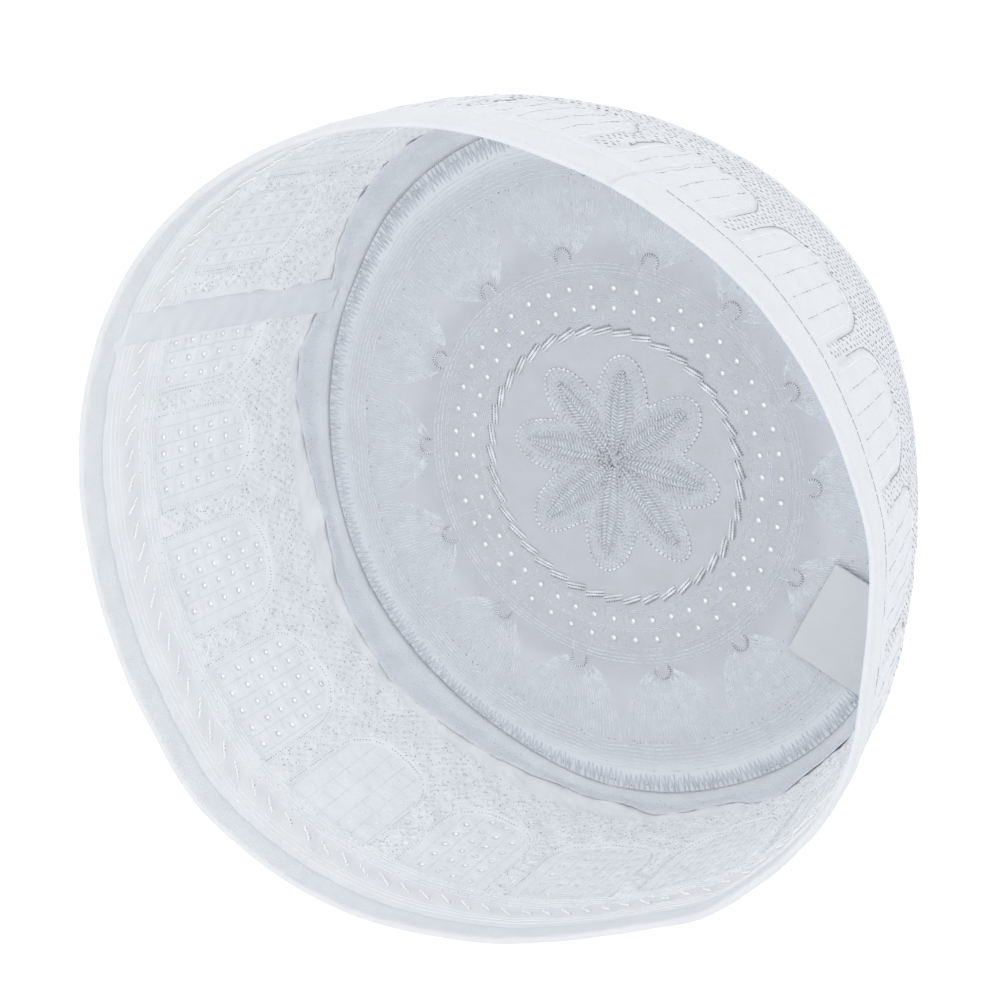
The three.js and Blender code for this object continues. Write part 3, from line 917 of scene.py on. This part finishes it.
def fans(bits, bright, shade_marks):
    rng = np.random.default_rng(SEED + 41)
    fan_count = 14
    step = 360 / fan_count
    for k in range(fan_count):
        middle = 65.3 - step * k
        for ray, u in enumerate(np.linspace(-1, 1, 33)):
            lean = np.radians(u * 104)
            from_x, from_y = 2.5 * np.cos(lean), 2.5 * np.sin(lean)
            reach = 3.2 + 3.4 * abs(u)
            over_x, over_y = from_x + reach * np.cos(lean), from_y + reach * np.sin(lean)
            start_r, start_a = turn_about(from_x, from_y, middle, 50)
            bend_r, bend_a = turn_about(over_x, over_y, middle, 50)
            t = np.linspace(0, 1, 16)
            end_a = middle + u * (step / 2 - 0.45)
            radius = (1 - t) ** 2 * start_r + 2 * t * (1 - t) * max(bend_r, 54) + t * t * 67.6
            angle = (1 - t) ** 2 * start_a + 2 * t * (1 - t) * (0.4 * bend_a + 0.6 * end_a) + t * t * end_a
            line = crown_line(radius, angle, 0.06)
            wide = rng.uniform(0.13, 0.21)
            add_run(bits, line, rng.uniform(2.2, 3.4), wide, wide * 0.75, UP, 0.9, shift=rng.uniform())
        turns = np.radians(np.linspace(-122, 122, 15))
        inner = turn_about(1.35 * np.cos(turns), 1.35 * np.sin(turns), middle, 50.2)
        outer = turn_about(2.25 * np.cos(turns), 2.25 * np.sin(turns), middle, 50.2)
        add_stitches(bright, crown_line(*inner, 0.12), crown_line(*outer, 0.12), UP, 0.17, 0.24, sides=4)
        between = turn_about(2.0 * np.cos(turns + 0.14), 2.0 * np.sin(turns + 0.14), middle, 50.2)
        add_marks(shade_marks, crown_line(*between, 0.06), UP, 0.15, rng)
        for off in (-1, 1):
            r, a = turn_about(np.linspace(-2.6, 1.2, 8), off * np.linspace(2.2, 0.9, 8), middle, 49.2)
            add_run(bits, crown_line(r, a, 0.08), 0.9, 0.17, 0.13, UP, 0.85)
    turns = np.linspace(0, 360, 721)
    for row, radius in enumerate(np.arange(67.5, 73.6, 0.92)):
        wave = 0.15 * ripples(turns, radius, 20, 42)
        line = crown_line(radius + wave, turns, 0.06)
        add_run(bits, line, rng.uniform(1.9, 2.3), 0.18, 0.12, UP, 0.86, shift=0.37 * row)
    dots = rng.uniform(0, 360, 190)
    add_marks(shade_marks, crown_line(67.1 + rng.uniform(-0.3, 0.3, 190), dots, 0.03), UP, 0.12, rng)
    dots = rng.uniform(0, 360, 260)
    add_marks(shade_marks, crown_line(rng.uniform(52, 74, 260), dots, 0.05), UP, 0.1, rng)


def overlock(bits, shade_marks):
    """The zigzag of the crown seam."""
    rng = np.random.default_rng(SEED + 44)
    count = 372
    step = 360 / count
    angle = np.arange(count) * step + rng.uniform(-0.2, 0.2, count)
    inner = rng.uniform(73.6, 74.6, count)
    outer = rng.uniform(77.6, 78.3, count)
    start = crown_line(inner, angle, 0.1)
    end = crown_line(outer, angle + step / 2, 0.14)
    add_stitches(bits, start, end, UP, 0.2, 0.18, spans=2, bow=0.15)
    start = crown_line(np.roll(inner, -1), angle + step, 0.1)
    add_stitches(bits, end, start, UP, 0.17, 0.16, spans=2, bow=0.15)
    some = rng.uniform(size=count) < 0.35
    add_marks(shade_marks, crown_line(inner + 2.6, angle, 0.05)[some], UP, 0.12, rng)


def loose_thread(bits):
    t = np.linspace(0, 1, 12)
    x = 23.8 + 3.2 * t
    y = -9.6 + 1.1 * np.sin(t * 2.6)
    z = 1.7 + 1.6 * np.sin(np.pi * t)
    line = np.stack([x, y, z], axis=1)
    add_stitches(bits, line[:-1], line[1:], UP, 0.13, 0.13, sides=4)


flower_bits, bright_bits, field_bits, crown_shade_marks = Bits(), Bits(), Bits(), Bits()
flower(flower_bits, bright_bits, crown_shade_marks)
rope(bright_bits, crown_shade_marks)
loose_thread(flower_bits)
flower_bits.piece("crown_flower", flower_thread, "crown_cloth")
lattice(field_bits)
fans(field_bits, bright_bits, crown_shade_marks)
bright_bits.piece("crown_rope", bright_thread, "crown_cloth")
overlock(field_bits, crown_shade_marks)
field_bits.piece("crown_stitches", crown_thread, "crown_cloth")
# Dark needle-hole marks of painted shade.
crown_shade_marks.piece("crown_needle_hole_shade", needle_shade, "crown_cloth")


# The band's embroidery
def round_line(height, lift=0.08, point=inside_point, steps=900):
    return point(np.linspace(0, 360, steps + 1), height, lift)


def arch_line(first, last, base, bend, tip, inset=0.0, steps=34):
    """The angles and heights along an arch's outline, from one foot to the other."""
    middle, half = (first + last) / 2, (last - first) / 2 - inset
    fall = bend - tip - inset * 1.4
    turn = np.linspace(0, np.pi, steps)
    power = 2 / 2.4
    curve_angle = -half * np.sign(np.cos(turn)) * np.abs(np.cos(turn)) ** power
    curve_height = bend - fall * np.sin(turn) ** power
    leg = np.linspace(base, bend, 12)[:-1]
    angles = np.concatenate([np.full(11, -half), curve_angle, np.full(11, half)])
    heights = np.concatenate([leg, curve_height, leg[::-1]])
    return middle + angles, heights


def band_rings(bits, chain, shade_marks):
    rng = np.random.default_rng(SEED + 51)
    for height in (68.6, 67.2, 66.0):
        add_run(bits, round_line(height, 0.04), 2.5, 0.14, 0.08, fill=0.86, shift=height)
    for height in (59.6, 58.4, 57.0, 55.9, 55.0):
        add_run(bits, round_line(height, 0.04), 2.5, 0.15, 0.1, fill=0.86, shift=height)
        spots = np.arange(0, 360, 1.68) + height
        add_marks(shade_marks, inside_point(spots, np.full(len(spots), height), 0.02), inward(
            inside_point(spots, np.full(len(spots), height))), 0.1, rng)
    bars = 104
    angle = np.arange(bars) * 360 / bars
    for share in np.linspace(0, 1, 5):
        across = angle - 0.95 + 1.9 * share + rng.uniform(-0.12, 0.12, bars)
        low = inside_point(across - 0.28, 61.8 + 2.0 * share - 0.45 + 0 * angle, 0.12)
        high = inside_point(across + 0.28, 61.8 + 2.0 * share + 0.45 + 0 * angle, 0.12)
        add_stitches(chain, high, low, inward(low), 0.27, 0.3, sides=4, spans=2, bow=0.14)
        spot = inside_point(across + 0.3, 61.8 + 2.0 * share - 0.2 + 0 * angle, 0.02)
        some = rng.uniform(size=bars) < 0.3
        add_marks(shade_marks, spot[some], inward(spot[some]), 0.11, rng)


def free_of_strip(angles, heights):
    """The part of a line that the strip over the join leaves bare."""
    bare = np.abs(angles - STRIP_ANGLE) > 4.4
    return angles[bare], heights[bare]


def arches_inside(bits, faint, shade_marks):
    rng = np.random.default_rng(SEED + 52)
    for first, last, _ in ARCHES:
        for inset, long, wide, high in ((0.55, 1.3, 0.2, 0.12), (-0.35, 1.1, 0.26, 0.15)):
            line = inside_point(*free_of_strip(*arch_line(first, last, **INSIDE_ARCH, inset=inset)), 0.06)
            add_run(bits, line, long, wide, high, fill=0.8)
        line = inside_point(*free_of_strip(*arch_line(first, last, **INSIDE_ARCH, inset=0.1)), 0.03)
        spots, _ = cut_up(line, 0.85)
        spots = spots[rng.uniform(size=len(spots)) < 0.8]
        add_marks(shade_marks, spots, inward(spots), 0.12, rng)
        columns = arch_columns(first, last)
        between = np.concatenate([columns - 1.42, [columns[-1] + 1.42]])
        for angle in between:
            heights = np.linspace(55, INSIDE_ARCH["tip"], 60)
            kept = heights[arch_depth(angle, heights, **INSIDE_ARCH) > 0.9]
            if len(kept) > 6:
                line = inside_point(np.full(len(kept), angle), kept, 0.04)
                add_run(faint, line, 2.4, 0.12, 0.08, fill=0.86)
        for height in LINE_HEIGHTS:
            angles = np.linspace(first, last, 60)
            kept = angles[arch_depth(angles, height, **INSIDE_ARCH) > 0.9]
            if len(kept) > 8:
                for off in (-0.22, 0.22):
                    line = inside_point(kept, np.full(len(kept), height + off), 0.04)
                    add_run(faint, line, 2.3, 0.11, 0.08, fill=0.88, shift=off)
    normal = inward(eyelets_in)
    add_rings(bits, eyelets_in + normal * 0.05, normal, 0.54, 0.07, steps=8)
    closed = arch_eyelets(False)
    centre = inside_point(closed[:, 1], closed[:, 0])
    add_rings(bits, centre + inward(centre) * 0.02, inward(centre), 0.42, 0.12, steps=7)


def netting_inside_stitches(bits, shade_marks):
    """Short light threads over the netting inside, and dark needle-hole marks of painted shade."""
    rng = np.random.default_rng(SEED + 50)
    count = 9000
    angle, height = rng.uniform(60, 330, count), rng.uniform(12, 54, count)
    keep = netting_inside(angle, height)[0] > 0.8
    angle, height = angle[keep], height[keep]
    lean = np.where(rng.uniform(size=len(angle)) < 0.5, 1, -1) * rng.uniform(0.15, 0.4, len(angle))
    rise = rng.uniform(0.2, 0.6, len(angle))
    start, end = inside_point(angle - lean, height - rise, 0.08), inside_point(angle + lean, height + rise, 0.08)
    add_stitches(bits, start, end, inward(start), 0.2, 0.16)
    angle, height = rng.uniform(60, 330, 5600), rng.uniform(11.5, 54, 5600)
    kept = netting_inside(angle, height)[0] > 0.8
    spots = inside_point(angle[kept], height[kept], 0.02)
    add_marks(shade_marks, spots, inward(spots), 0.13, rng)


def pit_places(low, high):
    rows = np.arange(np.ceil((low - GRID_START) / PIT_ROW), (high - GRID_START) / PIT_ROW)
    row, place = np.meshgrid(rows, np.arange(PITS_ROUND))
    angle = (place + 0.5 * (row % 2)) * 360 / PITS_ROUND
    return angle.ravel(), (GRID_START + row * PIT_ROW).ravel()


def outside_stitches(bits, shade_marks):
    rng = np.random.default_rng(SEED + 53)
    # The dark runs and pits put into the shade marks are painted shade: recessed lines down each arch, the groove
    # round it, a line under part of the hem's edge and the netting's pits.
    for first, last, _ in ARCHES:
        middle, half = (first + last) / 2, (last - first) / 2
        for angle in middle + half * np.array([-0.6, -0.2, 0.2, 0.6]):
            heights = np.linspace(59, OUTSIDE_ARCH["tip"] + 2, 60)
            kept = heights[arch_depth(angle, heights, **OUTSIDE_ARCH) > 0.7]
            line = outside_point(np.full(len(kept), angle), kept, 0.0)
            add_run(shade_marks, line, 2.5, 0.09, 0.06, normal="out", fill=0.9)
        line = outside_point(*arch_line(first, last, **OUTSIDE_ARCH, inset=0.5), 0.05)
        add_run(bits, line, 1.4, 0.2, 0.13, normal="out", fill=0.86)
        line = outside_point(*arch_line(first, last, **OUTSIDE_ARCH, inset=-0.75), 0.03)
        add_run(shade_marks, line[6:-6], 1.6, 0.12, 0.08, normal="out", fill=0.86)
    add_run(shade_marks, outside_point(np.linspace(-85, -4, 240), 64.55, 0.05), 2.6, 0.11, 0.09, normal="out", fill=0.84)
    add_run(bits, outside_point(np.linspace(-3, 275, 700), 64.5, 0.05), 2.6, 0.13, 0.1, normal="out", fill=0.84)
    angle, height = pit_places(2.4, 59.5)
    kept = (netting_outside(angle, height)[0] > 0.75) & ((angle > 70) | (rng.uniform(size=len(angle)) < 0.75))
    angle = angle[kept] + rng.uniform(-0.12, 0.12, kept.sum())
    height = height[kept] + rng.uniform(-0.15, 0.15, kept.sum())
    low, high = outside_point(angle - 0.2, height - 0.24, 0.04), outside_point(angle + 0.2, height + 0.24, 0.04)
    add_stitches(shade_marks, low, high, -inward(low), 0.17, 0.1)


ring_bits, chain_bits, arch_bits, faint_bits, band_shade_marks = Bits(), Bits(), Bits(), Bits(), Bits()
band_rings(ring_bits, chain_bits, band_shade_marks)
chain_bits.piece("band_chain", chain_thread, "band_cloth")
netting_inside_stitches(ring_bits, band_shade_marks)
ring_bits.piece("band_rings", band_thread, "band_cloth")
arches_inside(arch_bits, faint_bits, band_shade_marks)
arch_bits.piece("band_arches", band_thread, "band_cloth")
faint_bits.piece("band_grid", faint_thread, "band_cloth")
# Dark needle-hole marks of painted shade.
band_shade_marks.piece("band_needle_holes", needle_shade, "band_cloth")
outside_bits, outside_shade_marks = Bits(), Bits()
outside_stitches(outside_bits, outside_shade_marks)
outside_bits.piece("outer_stitches", outer_thread, "band_cloth")
# Dark pits, grooves and lines on the outside, of painted shade.
outside_shade_marks.piece("outer_painted_shade", needle_shade, "band_cloth")


# The crown seam's allowance, turned up against the band with a wavy free edge
def flap():
    columns = 960
    angle = np.arange(columns) * 360 / columns
    top = CLOTH + GAP + FLAP_HEIGHT * flap_rise(angle) + 0.18 * ripples(angle, 0, 13, 20)
    top = top + 0.08 * ripples(angle, 0, 4, 22)
    ladder = np.linspace(0, 1, 9)
    rows = []
    for share, front in [(s, True) for s in ladder] + [(s, False) for s in ladder[::-1]]:
        height = 1.35 + (top - 1.35) * share - (0 if front else 0.1 * (share < 1))
        foot = (1.9 if front else 1.6) * (1 - smooth(share, 0.0, 0.4))
        lean = 0.12 * share ** 2 + 0.13 * ripples(angle, 8 * share, 12, 21) * share
        stand = (0.68 if front else 0.42 - 0.16 * smooth(share, 0.5, 1)) + foot + np.maximum(lean, -0.15)
        rows.append(polar(wall_radius(angle, height) - stand, angle, height))
    points = np.concatenate(rows)
    quads = ring_faces(len(rows), columns, close_rows=True, flip=True)
    uv = np.stack([np.tile(angle * np.radians(1) * 80, len(rows)), points[:, 2]], axis=1)
    shares = np.concatenate([ladder, ladder[::-1]])
    # Painted shade: the flap's foot, where it curves onto the crown and catches more light, is painted darker.
    shade = np.repeat(0.14 * (1 - smooth(shares, 0.05, 0.5)), columns)
    add_piece("flap_cloth_edge", points, quads, [], flap_cloth, "flap_cloth", "seam_flap", uv, shade)
    rng = np.random.default_rng(SEED + 60)
    front = points[:9 * columns].reshape(9, columns, 3)
    # The flap's needle holes are dark marks of painted shade.
    for name, count, reach, width, rise, material in (
            ("flap_threads", 3000, 0.5, 0.15, 0.1, crown_thread),
            ("flap_needle_hole_shade", 500, 0.15, 0.1, 0.06, needle_shade)):
        bits = Bits()
        row, column = rng.integers(2, 8, count), rng.integers(0, columns, count)
        share = rng.uniform(size=(count, 1))
        middle = front[row, column] * (1 - share) + front[row + 1, column] * share
        around = unit(front[row, (column + 1) % columns] - front[row, column])
        rise_way = unit(front[row + 1, column] - front[row, column])
        turn = rng.uniform(-0.9, 0.9, (count, 1)) + (np.pi / 2 if name == "flap_threads" else 0)
        way = (around * np.cos(turn) + rise_way * np.sin(turn)) * reach * rng.uniform(0.6, 1.2, (count, 1))
        out = unit(np.cross(rise_way, around))
        out = out * np.sign(np.sum(out * inward(middle), axis=1, keepdims=True))
        add_stitches(bits, middle - way, middle + way, out, width, rise)
        bits.piece(name, material, "flap_cloth")


def sheet_faces(rows, columns):
    """The faces of two stacked patches, each rows by columns, joined round their edges."""
    r, c = np.meshgrid(np.arange(rows - 1), np.arange(columns - 1), indexing="ij")
    a = (r * columns + c).ravel()
    face = np.stack([a, a + 1, a + columns + 1, a + columns], axis=1)
    size = rows * columns
    edge = np.concatenate([
        np.arange(columns), np.arange(2, rows + 1) * columns - 1,
        np.arange(size - 2, size - columns - 1, -1), np.arange(rows - 2, -1, -1) * columns,
    ])
    around = edge[:-1] if edge[0] == edge[-1] else edge
    after = np.roll(around, -1)
    sides = np.stack([after, around, around + size, after + size], axis=1)
    return np.concatenate([face, face[:, ::-1] + size, sides])


def strip():
    rows, columns = 90, 18
    across = np.linspace(-1, 1, columns)
    share = np.linspace(0, 1, rows)
    a, s = np.meshgrid(across, share)
    foot = 3.2
    height = foot + (HEM_BOTTOM + 0.6 - foot) * s
    width = STRIP_WIDTH / 2 * (1 + 0.03 * np.cos(s * 9))
    angle = STRIP_ANGLE + 0.1 - np.degrees(a * width / wall_radius(STRIP_ANGLE, height))
    bulge = 0.3 * (1 - np.abs(a) ** 6) - 0.35 * np.abs(a) ** 14
    wave = 0.08 * ripples(angle, height, 6, 30) + 0.1 * np.cos(height * 0.5) * a
    radius = wall_radius(angle, height) - 0.45
    face = polar(radius - bulge - wave - 0.05, angle, height).reshape(-1, 3)
    back = polar(radius + 0.3, angle, height).reshape(-1, 3)
    uv = np.stack([(a * width).ravel(), height.ravel()], axis=1)
    add_piece("seam_strip", np.concatenate([face, back]), sheet_faces(rows, columns), [],
              strip_cloth, "strip_cloth", "back_seam", np.concatenate([uv, uv]))


def tag():
    rows, columns = 40, 52
    side, along = np.meshgrid(np.linspace(0.5, -0.5, columns) * TAG_WIDTH, np.linspace(0, 1, rows))
    root_angle = TAG_ANGLE + np.degrees(side / CROWN_RADIUS)
    root = wall_radius(root_angle, CLOTH + GAP) - 2.1
    free = wall_radius(TAG_ANGLE, CLOTH + GAP) - 2.1 - TAG_REACH
    x = free + (np.sqrt(root ** 2 - side ** 2) - free) * along
    curl = 0.6 * TAG_RISE * (1 - along) ** 2 + 0.25 * np.cos(side * 0.22 + 1) * (1 - along)
    turn = np.radians(TAG_ANGLE)
    height = CLOTH + 0.75 + curl
    place = np.stack([x * np.cos(turn) - side * np.sin(turn), x * np.sin(turn) + side * np.cos(turn)], axis=-1)
    face = np.concatenate([place, (height + 0.3)[..., None]], axis=-1).reshape(-1, 3)
    back = np.concatenate([place, (height - 0.1)[..., None]], axis=-1).reshape(-1, 3)
    uv = np.stack([side.ravel(), x.ravel()], axis=1)
    add_piece("bare_tag", np.concatenate([face, back]), sheet_faces(rows, columns), [],
              tag_cloth, "tag_cloth", "label", np.concatenate([uv, uv]))


flap()
strip()
tag()


# The floor, the light and the camera
def floor():
    mesh = bpy.data.meshes.new("floor")
    half = 6.0
    mesh.from_pydata([(-half, -half, 0), (half, -half, 0), (half, half, 0), (-half, half, 0)], [],
                     [(0, 1, 2, 3)])
    made = Maker("floor_white", roughness=0.9, emission_color=(1, 1, 1, 1), emission_strength=0.86)
    colour = made.mix(made.noise(3.0), (0.2, 0.2, 0.2, 1), (0.21, 0.21, 0.21, 1))
    made.tree.links.new(colour, made.shader.inputs["Base Color"])
    mesh.materials.append(made.material)
    plane = bpy.data.objects.new("floor", mesh)
    bpy.context.collection.objects.link(plane)
    plane.location.z = -0.0002


def area_light(name, place, size, power, tint):
    data = bpy.data.lights.new(name, "AREA")
    data.size = size
    data.energy = power
    data.color = tint
    lamp = bpy.data.objects.new(name, data)
    lamp.location = place
    aim = -np.array(place)
    lamp.rotation_mode = "QUATERNION"
    lamp.rotation_quaternion = Vector(aim).to_track_quat("-Z", "Y")
    bpy.context.collection.objects.link(lamp)


def studio():
    world = bpy.data.worlds.new("studio")
    bpy.context.scene.world = world
    world.use_nodes = True
    background = world.node_tree.nodes["Background"]
    background.inputs["Color"].default_value = (1, 1, 1, 1)
    background.inputs["Strength"].default_value = 1.12
    area_light("key", (0.75, -0.46, 1.15), 0.7, 0.9, (1, 1, 1))
    area_light("top", (0, 0, 1.4), 1.2, 1, (1, 1, 1))
    scene = bpy.context.scene
    scene.view_settings.view_transform = "Standard"
    scene.view_settings.look = "None"


def camera():
    data = bpy.data.cameras.new("camera")
    data.lens = 101.07
    data.sensor_width = 36
    data.clip_start, data.clip_end = 0.05, 50
    eye = bpy.data.objects.new("camera", data)
    right = (0.34979, -0.79880, -0.48946)
    up = (0.80867, 0.52123, -0.27273)
    back = (0.47297, -0.30041, 0.82828)
    place = (0.2927, -0.1788, 0.5557)
    eye.matrix_world = Matrix([(*column, 0) for column in zip(right, up, back)] + [(0, 0, 0, 1)])
    eye.location = place
    bpy.context.collection.objects.link(eye)
    bpy.context.scene.camera = eye


floor()
studio()
camera()
